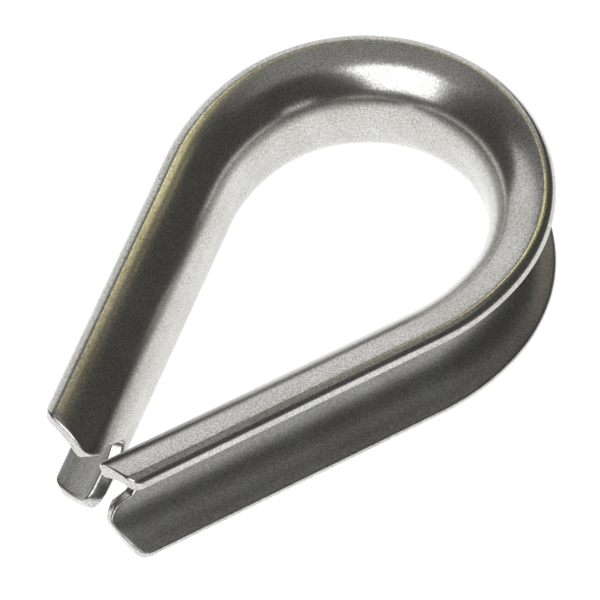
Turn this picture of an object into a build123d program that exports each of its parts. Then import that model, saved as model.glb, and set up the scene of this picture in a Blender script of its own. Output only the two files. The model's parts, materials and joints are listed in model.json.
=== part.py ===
from build123d import *
from math import cos, radians, sin
import os

# A wire rope thimble: one steel strip, pressed into a channel and bent round into a teardrop.
# Millimetres and degrees. The origin is the centre of the round bearing face, halfway between the
# flanges. +X points to the crown, -X to the leg ends, and +Z across the channel.

# The teardrop, on the bearing face of the web
EYE_RADIUS = 10.0            # round crown of the eye
CROWN_HALF_ANGLE = 84.4      # the crown's arc ends this far each side of +X
SHOULDER_RADIUS = 14.1       # wider arc that eases the crown into a leg
LEG_ANGLE = 20.4             # straight leg to the plane of symmetry
END_X = 31.8                 # from the origin back to the square-cut leg ends

# The channel's section
WALL = 1.2                   # sheet thickness
WEB_FLAT = 1.6               # narrow flat of the bearing face, between the two bends
GROOVE_BEND_RADIUS = 3.55    # bend from web to flange inside the groove, to suit a round rope
FLARE_ANGLE = 7.0            # flange to the plane of the eye, past the bend
FLANGE_LENGTH = 1.0          # straight part of the flange, from the bend to the rim
BEARING_RIM_ROUND = 0.85     # polished rounding of the rim's edge on the bearing side
GROOVE_RIM_ROUND = 0.3       # the same on the groove side

# The leg ends
TIP_GAP = 1.1                # between the mitred faces of the two legs
TIP_ROUND = 0.7              # corners of the flange ends, seen in plan
NOTCH_DEPTH = 2.8            # how far the web is cut back from where the mitre meets it
NOTCH_HEIGHT = 5.3           # height of the notch where it opens at the mitre
NOTCH_ROUND = 0.8            # root of the notch
END_ROUND = 0.2              # polished rounding of the cut edges

# Worked out from the sizes above
BEND_RADIUS = GROOVE_BEND_RADIUS + WALL   # the same bend on the bearing side
CENTRE_SHIFT = EYE_RADIUS - SHOULDER_RADIUS
SHOULDER_CENTRE = Vector(cos(radians(CROWN_HALF_ANGLE)), sin(radians(CROWN_HALF_ANGLE))) * CENTRE_SHIFT
LEG_START_ANGLE = 90 + LEG_ANGLE
LEG_OUT = Vector(cos(radians(LEG_START_ANGLE)), sin(radians(LEG_START_ANGLE)))
LEG_ALONG = Vector(-cos(radians(LEG_ANGLE)), -sin(radians(LEG_ANGLE)))
LEG_START = SHOULDER_CENTRE + LEG_OUT * SHOULDER_RADIUS
MITRE_REACH = (LEG_START.Y - TIP_GAP / 2) / sin(radians(LEG_ANGLE))
CUT_CLEARANCE = 0.01         # keeps a cutting tool's side off the rim that it runs along
PAST = 2 * END_X              # far enough past the part for a cutting tool


def station(centre, angle):
    """The section's plane where the bearing face stands at an angle: x is outward, y is up."""
    out = Vector(cos(radians(angle)), sin(radians(angle)))
    along = Vector(out.Y, -out.X)
    return Plane(origin=centre, x_dir=out, z_dir=along)


def channel_section():
    """Web, two bends and two flanges, with the bearing face on x = 0."""
    turn = 90 - FLARE_ANGLE
    flare = Vector(cos(radians(FLARE_ANGLE)), sin(radians(FLARE_ANGLE)))
    to_groove = Vector(flare.Y, -flare.X)
    bend_centre = Vector(BEND_RADIUS, WEB_FLAT / 2)
    with BuildSketch() as section:
        with BuildLine():
            bearing = Line((0, 0), (0, WEB_FLAT / 2))
            bearing_bend = CenterArc(bend_centre, BEND_RADIUS, 180, -turn)
            bearing_flange = Line(bearing_bend @ 1, (bearing_bend @ 1) + flare * FLANGE_LENGTH)
            rim = Line(bearing_flange @ 1, (bearing_flange @ 1) + to_groove * WALL)
            groove_bend = CenterArc(bend_centre, GROOVE_BEND_RADIUS, 180, -turn)
            Line(rim @ 1, groove_bend @ 1)
            Line(groove_bend @ 0, (WALL, 0))
            Line((WALL, 0), (0, 0))
        make_face()
        fillet(section.vertices().sort_by(Axis.Y)[-1:], BEARING_RIM_ROUND)
        fillet(section.vertices().sort_by(Axis.X)[-1:], GROOVE_RIM_ROUND)
        mirror(about=Plane.XZ)
    return section.sketch


def placed(section, centre, radius, angle):
    """The section standing on an arc's bearing face at one angle."""
    return station(centre, angle) * Pos(radius, 0, 0) * section


def crown(section):
    start = placed(section, Vector(0, 0), EYE_RADIUS, -CROWN_HALF_ANGLE)
    return revolve(start, Axis.Z, 2 * CROWN_HALF_ANGLE)


def shoulder(section):
    start = placed(section, SHOULDER_CENTRE, SHOULDER_RADIUS, CROWN_HALF_ANGLE)
    sweep_angle = LEG_START_ANGLE - CROWN_HALF_ANGLE
    return revolve(start, Axis(SHOULDER_CENTRE, (0, 0, 1)), sweep_angle)


def leg(section):
    start = placed(section, SHOULDER_CENTRE, SHOULDER_RADIUS, LEG_START_ANGLE)
    return extrude(start, amount=PAST, dir=LEG_ALONG)


def rim_reach(section):
    """How far the rim stands out from the bearing face."""
    return section.bounding_box().max.X


def end_window(section):
    """Plan of what is kept of the +Y leg: mitred, cut square, both corners of each flange rounded."""
    outside = LEG_START + LEG_OUT * (rim_reach(section) + CUT_CLEARANCE)
    to_end = (outside.X + END_X) / cos(radians(LEG_ANGLE))
    rim_corner = outside + LEG_ALONG * to_end
    tip_corner = Vector(-END_X, TIP_GAP / 2)
    with BuildPart() as window:
        with BuildSketch(Plane.XY.offset(-PAST)) as plan:
            with BuildLine():
                Polyline(rim_corner, tip_corner, (PAST, TIP_GAP / 2), (PAST, PAST), outside, close=True)
            make_face()
            fillet(plan.vertices().sort_by(Axis.X)[:2], TIP_ROUND)
        extrude(amount=2 * PAST)
    return window.part


def web_notch():
    """The V that opens the web at the leg's end, square to the bearing face."""
    half = NOTCH_HEIGHT / 2
    with BuildPart() as notch:
        with BuildSketch(Plane(origin=LEG_START, x_dir=LEG_ALONG, z_dir=LEG_OUT)) as outline:
            with BuildLine():
                root = (MITRE_REACH - NOTCH_DEPTH, 0)
                Polyline(root, (MITRE_REACH, half), (PAST, half), (PAST, -half), (MITRE_REACH, -half), close=True)
            make_face()
            fillet(outline.vertices().sort_by(Axis((0, 0, 0), LEG_ALONG))[:1], NOTCH_ROUND)
        extrude(amount=PAST, both=True)
    return notch.part


def rounded_ends(piece, tools):
    """Rounds the edges where a face left by a tool meets the strip's own surface."""
    walls = [wall for tool in tools for wall in tool.faces()]

    def cut_by_a_tool(face):
        return min(wall.distance_to(face.center()) for wall in walls) < CUT_CLEARANCE / 2

    cut = piece.faces().filter_by(cut_by_a_tool)
    own = piece.faces() - cut
    return fillet(cut.edges() & own.edges(), END_ROUND)


def trimmed_leg(section):
    window = end_window(section)
    notch = web_notch()
    return rounded_ends((leg(section) & window) - notch, (window, notch))


def thimble_body():
    section = channel_section()
    side = shoulder(section) + trimmed_leg(section)
    return crown(section) + side + mirror(side, Plane.XZ)


os.makedirs("parts", exist_ok=True)
export_step(thimble_body(), "parts/thimble_body.step")
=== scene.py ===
import json
from math import atan2, cos, pi, radians, sin, sqrt

import bmesh
import bpy
from mathutils import Matrix, Vector


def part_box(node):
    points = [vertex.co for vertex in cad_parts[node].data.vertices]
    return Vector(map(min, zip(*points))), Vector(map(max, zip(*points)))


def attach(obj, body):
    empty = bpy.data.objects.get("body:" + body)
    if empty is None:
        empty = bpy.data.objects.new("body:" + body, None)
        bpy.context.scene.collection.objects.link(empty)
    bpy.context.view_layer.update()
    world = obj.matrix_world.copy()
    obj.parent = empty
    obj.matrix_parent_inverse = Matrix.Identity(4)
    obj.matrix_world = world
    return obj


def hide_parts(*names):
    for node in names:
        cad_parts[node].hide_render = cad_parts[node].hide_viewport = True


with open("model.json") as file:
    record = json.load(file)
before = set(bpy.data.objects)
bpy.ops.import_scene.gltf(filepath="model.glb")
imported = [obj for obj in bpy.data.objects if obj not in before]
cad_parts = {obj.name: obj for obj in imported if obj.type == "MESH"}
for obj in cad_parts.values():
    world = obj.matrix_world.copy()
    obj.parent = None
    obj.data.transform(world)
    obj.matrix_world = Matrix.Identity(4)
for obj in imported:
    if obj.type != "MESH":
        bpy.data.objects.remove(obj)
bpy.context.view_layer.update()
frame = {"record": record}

MM = 0.001

# The thimble's own sizes, in metres. The eye and the strip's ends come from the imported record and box.
EYE = next(m for m in frame["record"]["mounts"] if m["name"] == "eye_bearing")
EYE_RADIUS = EYE["dims"]["r_mm"] * MM
WEB_HALF = EYE["dims"]["length_mm"] * MM / 2
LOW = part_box("thimble_body")[0]
END_X = -LOW.x
WALL = 1.2 * MM
BEND_RADIUS = 4.75 * MM
FLARE = radians(7.0)
FLANGE_LENGTH = 1.0 * MM
CROWN_HALF = radians(84.4)
SHOULDER_RADIUS = 14.1 * MM
LEG_ANGLE = radians(20.4)
TIP_GAP = 0.5 * MM                # the solid's tips are 1.1 mm apart; these are drawn nearly closed
NOTCH_DEPTH = 2.8 * MM
NOTCH_HALF = 2.65 * MM

# Where the shoulder's arc is centred and where the leg starts, in plan
SHOULDER_CENTRE = Vector((cos(CROWN_HALF), sin(CROWN_HALF), 0)) * (EYE_RADIUS - SHOULDER_RADIUS)
SHOULDER_TURN = pi / 2 + LEG_ANGLE - CROWN_HALF
LEG_OUT = Vector((-sin(LEG_ANGLE), cos(LEG_ANGLE), 0))
LEG_ALONG = Vector((-cos(LEG_ANGLE), -sin(LEG_ANGLE), 0))
LEG_START = SHOULDER_CENTRE + LEG_OUT * SHOULDER_RADIUS

# How finely the sheet is divided
WEB_CUTS = 4
BEND_STEPS = 20
CROWN_STEPS = 48
SHOULDER_STEPS = 14
LEG_ROWS = 26
LEG_DRAFT = LEG_ROWS * 1.15 * MM  # length that the leg is drawn out to before its end is shaped
SAME_SPOT = 0.001 * MM
MIRROR_MERGE = 0.01 * MM
CLEAR_OF_START = 0.01 * MM        # past the leg's first row, which stays where it is
SMOOTH_UNDER = radians(50)

# How softly the cuts of the leg's end run into each other
END_BLEND = 1.6 * MM
NOTCH_BLEND = 0.6 * MM
NOTCH_ROOT = 0.35 * MM

# The left leg's rims are cut back by this share of their reach, from this share of the way to the end
LEFT_CUT = 0.13
LEFT_CUT_START = 0.75

# Roundings left by the polishing
CORNER_ROUND = 0.85 * MM
BEARING_RIM_ROUND = 0.85 * MM
GROOVE_RIM_ROUND = 0.3 * MM
END_ROUND = 0.25 * MM
ROUND_SEGMENTS = 5

# The sides of the sheet, and how squarely a face of the long rim looks outwards
BEARING, GROOVE, EDGE = 0, 1, 2
RIM_FACING = 0.6

# The finish. Heights across the strip are shares of RIM_LEVEL, lengths along it shares of STRIP_HALF.
RIM_LEVEL = 5.6
STRIP_HALF = 50.0
FACETS = 7000.0
FACET_LEAN = 0.17
MIX_SHARE, MIX_FIRST, MIX_SECOND, MIX_RESULT = 0, 6, 7, 2

# The studio
FLOOR_SIZE = 6
PANEL_DISTANCE = 0.6
WARM = (1.0, 0.90, 0.50)


# ---------------------------------------------------------------- modelling helpers
def only(obj):
    bpy.ops.object.select_all(action="DESELECT")
    obj.select_set(True)
    bpy.context.view_layer.objects.active = obj


def pick(obj, wanted):
    """Selects in edit mode the vertices that wanted() says yes to."""
    mesh = bmesh.from_edit_mesh(obj.data)
    bpy.ops.mesh.select_all(action="DESELECT")
    bpy.ops.mesh.select_mode(type="VERT")
    for vertex in mesh.verts:
        vertex.select = wanted(vertex)
    mesh.select_flush_mode()
    bmesh.update_edit_mesh(obj.data)


def spin(steps, angle, center, axis):
    """Spins the selection by the right-hand rule; the operator itself turns the other way."""
    bpy.ops.mesh.spin(steps=steps, angle=-angle, center=center, axis=axis)


def apply_modifier(obj, kind, **settings):
    only(obj)
    modifier = obj.modifiers.new(kind.title(), kind)
    for name, value in settings.items():
        setattr(modifier, name, value)
    bpy.ops.object.modifier_apply(modifier=modifier.name)


# ---------------------------------------------------------------- the strip
def quarter_section():
    """Half of the channel's bearing face at the crown: web, bend and flange as one chain of edges."""
    bpy.ops.mesh.primitive_plane_add(
        size=WEB_HALF, location=(EYE_RADIUS, -WEB_HALF / 2, WEB_HALF / 2), rotation=(0, pi / 2, 0))
    strip = bpy.context.object
    strip.name = "thimble_strip"
    bpy.ops.object.transform_apply()
    bpy.ops.object.mode_set(mode="EDIT")
    pick(strip, lambda v: v.co.y < -WEB_HALF / 2)
    bpy.ops.mesh.delete(type="VERT")
    pick(strip, lambda v: True)
    bpy.ops.mesh.subdivide(number_cuts=WEB_CUTS)
    pick(strip, lambda v: v.co.z > WEB_HALF * 0.99)
    bend_centre = (EYE_RADIUS + BEND_RADIUS, 0, WEB_HALF)
    spin(BEND_STEPS, pi / 2 - FLARE, bend_centre, (0, 1, 0))
    flare = Vector((cos(FLARE), 0, sin(FLARE)))
    bpy.ops.mesh.extrude_region_move(TRANSFORM_OT_translate={"value": flare * FLANGE_LENGTH})
    return strip


def bend_round_the_eye(strip):
    """Spins the chain round half the crown and a shoulder, then draws out the leg row by row."""
    pick(strip, lambda v: True)
    spin(CROWN_STEPS, CROWN_HALF, (0, 0, 0), (0, 0, 1))
    spin(SHOULDER_STEPS, SHOULDER_TURN, SHOULDER_CENTRE, (0, 0, 1))
    step = LEG_ALONG * (LEG_DRAFT / LEG_ROWS)
    for _ in range(LEG_ROWS):
        bpy.ops.mesh.extrude_region_move(TRANSFORM_OT_translate={"value": step})
    bpy.ops.mesh.select_all(action="SELECT")
    bpy.ops.mesh.remove_doubles(threshold=SAME_SPOT)
    bpy.ops.object.mode_set(mode="OBJECT")


def smooth_step(value, start, end):
    """0 at the start, 1 at the end, eased at both."""
    t = min(max((value - start) / (end - start), 0.0), 1.0)
    return t * t * (3 - 2 * t)


def softest(a, b, blend):
    """The smaller of two lengths, with a rounded change from one to the other."""
    h = max(blend - abs(a - b), 0.0) / blend
    return min(a, b) - h * h * blend / 4


def leg_length(outward, height):
    """How far along the leg the strip reaches at a place on its section: square end, mitre or notch."""
    groove_side = outward + WALL * max(1 - outward / BEND_RADIUS, sin(FLARE))
    square = (END_X + LEG_START.x + LEG_OUT.x * groove_side) / cos(LEG_ANGLE)
    mitre = (LEG_START.y + LEG_OUT.y * outward - TIP_GAP / 2) / sin(LEG_ANGLE)
    root = (LEG_START.y - TIP_GAP / 2) / sin(LEG_ANGLE) - NOTCH_DEPTH
    depth = sqrt(height * height + NOTCH_ROOT ** 2) / NOTCH_HALF * NOTCH_DEPTH
    end = softest(square, mitre, END_BLEND)
    return softest(end, root + depth, NOTCH_BLEND) if height < NOTCH_HALF else end


def cut_the_ends(strip):
    """Slides the leg's vertices along their lines, so that the last row follows the cut end."""
    for vertex in strip.data.vertices:
        place = vertex.co - LEG_START
        along = place.dot(LEG_ALONG)
        if along > CLEAR_OF_START and vertex.co.x < LEG_START.x:
            end = leg_length(place.dot(LEG_OUT), vertex.co.z)
            vertex.co += LEG_ALONG * (along * end / LEG_DRAFT - along)


def shorten_the_left_rim(strip):
    """The +Y leg's rims were cut back a little further than the -Y leg's."""
    start = LEFT_CUT_START * -END_X
    for vertex in strip.data.vertices:
        outward = (vertex.co - LEG_START).dot(LEG_OUT)
        if vertex.co.y > 0 and vertex.co.x < start:
            near_end = smooth_step(vertex.co.x, start, -END_X)
            vertex.co -= LEG_ALONG * max(outward, 0) * LEFT_CUT * near_end


def turn_the_sheet_outwards(strip):
    """Makes every face of the open sheet look to the bearing side, before it gets its wall."""
    only(strip)
    bpy.ops.object.mode_set(mode="EDIT")
    bpy.ops.mesh.select_all(action="SELECT")
    bpy.ops.mesh.normals_make_consistent(inside=False)
    bpy.ops.object.mode_set(mode="OBJECT")
    face = min(strip.data.polygons, key=lambda p: (p.center - Vector((EYE_RADIUS, 0, 0))).length)
    if face.normal.x > 0:
        strip.data.flip_normals()


def make_strip():
    strip = quarter_section()
    bend_round_the_eye(strip)
    cut_the_ends(strip)
    apply_modifier(strip, "MIRROR", use_axis=(False, True, True), merge_threshold=MIRROR_MERGE)
    turn_the_sheet_outwards(strip)
    shorten_the_left_rim(strip)
    for name in ("bearing", "groove", "edge"):
        strip.data.materials.append(bpy.data.materials.new(name))
    apply_modifier(strip, "SOLIDIFY", thickness=WALL, offset=-1.0, use_even_offset=True,
                   material_offset=GROOVE, material_offset_rim=EDGE)
    mark_roundings(strip)
    apply_modifier(strip, "BEVEL", width=CORNER_ROUND, segments=ROUND_SEGMENTS, limit_method="WEIGHT",
                   use_clamp_overlap=False, loop_slide=True)
    lay_out(strip)
    only(strip)
    bpy.ops.object.shade_smooth_by_angle(angle=SMOOTH_UNDER)
    return strip


def mirrored(vector, point):
    """A direction of the +Y leg, turned over to the leg that the point is on."""
    return Vector((vector.x, vector.y if point.y > 0 else -vector.y, vector.z))


def is_long_rim(face):
    """Whether an edge face belongs to the rim that runs all the way round, not to a cut leg end."""
    spot = face.center
    out = mirrored(LEG_OUT, spot) if spot.x < LEG_START.x else Vector((spot.x, spot.y, 0)).normalized()
    return face.normal.dot(out) > RIM_FACING


def mark_roundings(strip):
    """Gives every sharp edge its own rounding: both edges of the rims, the cut ends and their corners."""
    mesh = strip.data
    weight = mesh.attributes.new("bevel_weight_edge", "FLOAT", "EDGE")
    beside = {}
    for face in mesh.polygons:
        for key in face.edge_keys:
            beside.setdefault(tuple(sorted(key)), []).append(face)
    for edge in mesh.edges:
        first, second = sorted(beside[tuple(sorted(edge.vertices))], key=lambda f: f.material_index)
        if second.material_index != EDGE:
            continue
        if first.material_index == EDGE:
            rounding = CORNER_ROUND if is_long_rim(first) != is_long_rim(second) else 0.0
        elif not is_long_rim(second):
            rounding = END_ROUND
        else:
            rounding = BEARING_RIM_ROUND if first.material_index == BEARING else GROOVE_RIM_ROUND
        weight.data[edge.index].value = rounding / CORNER_ROUND


def place_on_strip(point):
    """Length along the strip from the crown's middle, and height across it, in millimetres."""
    near = Vector((point.x, abs(point.y), 0))
    angle = atan2(near.y, near.x)
    local = near - SHOULDER_CENTRE
    turned = atan2(local.y, local.x)
    if angle < CROWN_HALF:
        length = EYE_RADIUS * angle
    elif turned < pi / 2 + LEG_ANGLE:
        length = EYE_RADIUS * CROWN_HALF + SHOULDER_RADIUS * (turned - CROWN_HALF)
    else:
        arcs = EYE_RADIUS * CROWN_HALF + SHOULDER_RADIUS * SHOULDER_TURN
        length = arcs + (near - LEG_START).dot(LEG_ALONG)
    return (length if point.y > 0 else -length) / MM, point.z / MM


def lay_out(strip):
    """Lays the strip out flat in a UV map, and writes down which side of the sheet each face is on."""
    mesh = strip.data
    layout = mesh.uv_layers.new(name="along_strip")
    side = mesh.attributes.new("groove_side", "FLOAT", "CORNER")
    for face in mesh.polygons:
        for corner in face.loop_indices:
            layout.data[corner].uv = place_on_strip(mesh.vertices[mesh.loops[corner].vertex_index].co)
            side.data[corner].value = 1.0 if face.material_index == GROOVE else 0.0
        face.material_index = 0
    mesh.materials.clear()


# ---------------------------------------------------------------- finish
def new_group(name, inputs, outputs):
    """A shader node group with named sockets, and its two end nodes."""
    group = bpy.data.node_groups.new(name, "ShaderNodeTree")
    for label, kind, value in inputs:
        socket = group.interface.new_socket(name=label, in_out="INPUT", socket_type=kind)
        if value is not None:
            socket.default_value = value
    for label, kind in outputs:
        group.interface.new_socket(name=label, in_out="OUTPUT", socket_type=kind)
    return group, group.nodes.new("NodeGroupInput"), group.nodes.new("NodeGroupOutput")


def node(tree, kind, links=(), **settings):
    """Adds a node, sets its values by socket name or property name, and links sockets into it."""
    made = tree.nodes.new("ShaderNode" + kind)
    for name, value in settings.items():
        if hasattr(made, name):
            setattr(made, name, value)
        else:
            made.inputs[name.replace("_", " ")].default_value = value
    for name, source in links:
        tree.links.new(source, made.inputs[name])
    return made


def join(tree, operation, first, second):
    """A math node between a socket and a number."""
    made = tree.nodes.new("ShaderNodeMath")
    made.operation = operation
    tree.links.new(first, made.inputs[0])
    made.inputs[1].default_value = second
    return made.outputs["Value"]


def mix(tree, first, second, how="MULTIPLY", share=None):
    """Mixes two colours: fully, or by the share that a socket gives."""
    made = node(tree, "Mix", data_type="RGBA", blend_type=how)
    made.inputs[MIX_SHARE].default_value = 1.0
    if share is not None:
        tree.links.new(share, made.inputs[MIX_SHARE])
    tree.links.new(first, made.inputs[MIX_FIRST])
    tree.links.new(second, made.inputs[MIX_SECOND])
    return made.outputs[MIX_RESULT]


def ramp(tree, source, *stops):
    """A colour ramp from (place, colour) stops; a plain number stands for a grey."""
    made = tree.nodes.new("ShaderNodeValToRGB")
    tree.links.new(source, made.inputs["Fac"])
    points = made.color_ramp.elements
    while len(points) < len(stops):
        points.new(0.5)
    for point, (place, colour) in zip(points, stops):
        point.position = place
        point.color = (colour, colour, colour, 1) if isinstance(colour, (int, float)) else (*colour, 1)
    return made.outputs["Color"]


def sparkle_grain():
    """Crystalline grain left by tumbling: every small facet leans its own way."""
    inputs = [("Vector", "NodeSocketVector", None), ("Facets", "NodeSocketFloat", FACETS),
              ("Lean", "NodeSocketFloat", FACET_LEAN)]
    group, start, end = new_group("sparkle_grain", inputs, [("Normal", "NodeSocketVector")])
    cells = node(group, "TexVoronoi",
                 [("Vector", start.outputs["Vector"]), ("Scale", start.outputs["Facets"])])
    middle = node(group, "VectorMath", [(0, cells.outputs["Color"])], operation="SUBTRACT")
    middle.inputs[1].default_value = (0.5, 0.5, 0.5)
    lean = node(group, "VectorMath", [(0, middle.outputs["Vector"]), ("Scale", start.outputs["Lean"])],
                operation="SCALE")
    face = node(group, "NewGeometry")
    added = node(group, "VectorMath", [(0, face.outputs["Normal"]), (1, lean.outputs["Vector"])],
                 operation="ADD")
    unit = node(group, "VectorMath", [(0, added.outputs["Vector"])], operation="NORMALIZE")
    group.links.new(unit.outputs["Vector"], end.inputs["Normal"])
    return group


def steel_colour(tree, place):
    """Cloudy patches of slightly different steel, with fine specks over them."""
    cloud = node(tree, "TexNoise", [("Vector", place)], Scale=260.0, Detail=5.0)
    patches = ramp(tree, cloud.outputs["Fac"], (0.3, (0.56, 0.555, 0.525)), (0.7, (0.66, 0.658, 0.64)))
    speck = node(tree, "TexNoise", [("Vector", place)], Scale=FACETS, Detail=1.0)
    specks = ramp(tree, speck.outputs["Fac"], (0.3, 0.6), (0.65, 1.0))
    return mix(tree, patches, specks)


def painted_shade_colour(tree, length, height, groove_side):
    """Painted shade: darker steel in the bends beside the web, at the groove's root and in the left leg's
    groove end, where the part lies in shade.
    """
    level = join(tree, "DIVIDE", height, RIM_LEVEL)
    # painted shade on the bearing side's bends beside the web
    bearing = ramp(tree, level, (0.16, 1.0), (0.25, 0.5), (0.48, 0.5), (0.57, 1.0))
    # painted shade at the groove's root, under the flange that overhangs it
    root = ramp(tree, level, (0.20, 0.6), (0.42, 1.0))
    # painted shade in the left leg's groove end
    left_end = ramp(tree, join(tree, "DIVIDE", length, STRIP_HALF), (0.66, 1.0), (0.76, 0.45))
    return mix(tree, bearing, mix(tree, root, left_end), how="MIX", share=groove_side)


def stainless():
    material = bpy.data.materials.new("stainless")
    material.use_nodes = True
    tree = material.node_tree
    shader = tree.nodes["Principled BSDF"]
    shader.inputs["Metallic"].default_value = 1.0
    place = node(tree, "TexCoord").outputs["Object"]
    groove_side = node(tree, "Attribute", attribute_name="groove_side").outputs["Fac"]
    strip = node(tree, "UVMap", uv_map="along_strip").outputs["UV"]
    split = node(tree, "SeparateXYZ", [("Vector", strip)])
    height = join(tree, "ABSOLUTE", split.outputs["Y"], 0.0)

    # painted shade: the bends, the groove's root and the left leg's groove end are darkened in the base
    # colour
    painted_shade = painted_shade_colour(tree, split.outputs["X"], height, groove_side)
    tree.links.new(mix(tree, steel_colour(tree, place), painted_shade), shader.inputs["Base Color"])
    rough = node(tree, "MapRange", [("Value", groove_side)], To_Min=0.22, To_Max=0.40)
    tree.links.new(rough.outputs["Result"], shader.inputs["Roughness"])

    grain = tree.nodes.new("ShaderNodeGroup")
    grain.node_tree = sparkle_grain()
    tree.links.new(place, grain.inputs["Vector"])
    flange = ramp(tree, join(tree, "DIVIDE", height, RIM_LEVEL), (0.36, 0.0), (0.55, 1.0))
    tree.links.new(join(tree, "MULTIPLY", flange, FACET_LEAN), grain.inputs["Lean"])
    ripple_place = node(tree, "Mapping", [("Vector", strip)], Scale=(0.12, 2.2, 1.0))
    ripples = node(tree, "TexNoise", [("Vector", ripple_place.outputs["Vector"])], Scale=1.0, Detail=3.0)
    bump = node(tree, "Bump", [("Height", ripples.outputs["Fac"]), ("Normal", grain.outputs["Normal"])],
                Strength=1.0, Distance=0.06 * MM)
    tree.links.new(bump.outputs["Normal"], shader.inputs["Normal"])
    return material


# ---------------------------------------------------------------- stage
def soft_panel(name, turn, height, size, brightness, colour=(1, 1, 1)):
    """A soft box that faces the thimble, turned in degrees from +X and raised in degrees above the floor.

    Its brightness is what a mirror would show of it."""
    light = bpy.data.lights.new(name, "AREA")
    light.shape = "RECTANGLE"
    light.size, light.size_y = size
    light.energy = brightness * size[0] * size[1] * pi
    light.color = colour
    panel = bpy.data.objects.new(name, light)
    bpy.context.scene.collection.objects.link(panel)
    turn, height = radians(turn), radians(height)
    out = Vector((cos(height) * cos(turn), cos(height) * sin(turn), sin(height)))
    turned = out.to_track_quat("Z", "Y").to_matrix().to_4x4()
    panel.matrix_world = Matrix.Translation(out * PANEL_DISTANCE) @ turned


def pale_floor():
    bpy.ops.mesh.primitive_plane_add(size=FLOOR_SIZE, location=(0, 0, LOW.z))
    floor = bpy.context.object
    floor.name = "floor"
    pale = bpy.data.materials.new("pale_floor")
    pale.use_nodes = True
    shader = pale.node_tree.nodes["Principled BSDF"]
    shader.inputs["Base Color"].default_value = (0.9, 0.9, 0.9, 1)
    shader.inputs["Roughness"].default_value = 0.9
    shader.inputs["Specular IOR Level"].default_value = 0.0
    shader.inputs["Emission Color"].default_value = (1, 1, 1, 1)
    shader.inputs["Emission Strength"].default_value = 0.78
    floor.data.materials.append(pale)


def studio():
    pale_floor()
    world = bpy.data.worlds.new("studio")
    world.use_nodes = True
    world.node_tree.nodes["Background"].inputs["Color"].default_value = (1.0, 0.98, 0.9, 1)
    world.node_tree.nodes["Background"].inputs["Strength"].default_value = 0.09
    bpy.context.scene.world = world
    soft_panel("key", 189, 44, (0.44, 0.52), 2.4)
    soft_panel("side", 55, 22, (0.90, 0.60), 0.92)
    soft_panel("overhead", 178, 85, (0.60, 0.60), 0.25)
    soft_panel("front", -97, 6, (0.22, 0.14), 1.0)
    for turn, height, brightness in ((33, 57, 6.0), (21, 56, 5.0), (3, 52, 2.0)):
        soft_panel("warm_lamp", turn, height, (0.045, 0.045), brightness, WARM)


def camera():
    azimuth, elevation, roll = radians(-45.66), radians(55.11), radians(-4.44)
    distance = 387.9 * MM
    target = Vector((-8.42, -0.75, 0)) * MM
    back = Vector((sin(azimuth) * cos(elevation), -cos(azimuth) * cos(elevation), sin(elevation)))
    right = Vector((cos(azimuth), sin(azimuth), 0))
    up = back.cross(right)
    turned_right = right * cos(roll) + up * sin(roll)
    turned_up = up * cos(roll) - right * sin(roll)
    data = bpy.data.cameras.new("camera")
    data.sensor_width = 36
    data.lens = 297.9
    data.clip_start = 0.01
    obj = bpy.data.objects.new("camera", data)
    bpy.context.scene.collection.objects.link(obj)
    turn = Matrix((turned_right, turned_up, back)).transposed().to_4x4()
    obj.matrix_world = Matrix.Translation(target + back * distance) @ turn
    bpy.context.scene.camera = obj


bpy.context.scene.view_settings.view_transform = "Standard"
strip = make_strip()
strip.data.materials.append(stainless())
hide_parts("thimble_body")
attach(strip, "root")
studio()
camera()
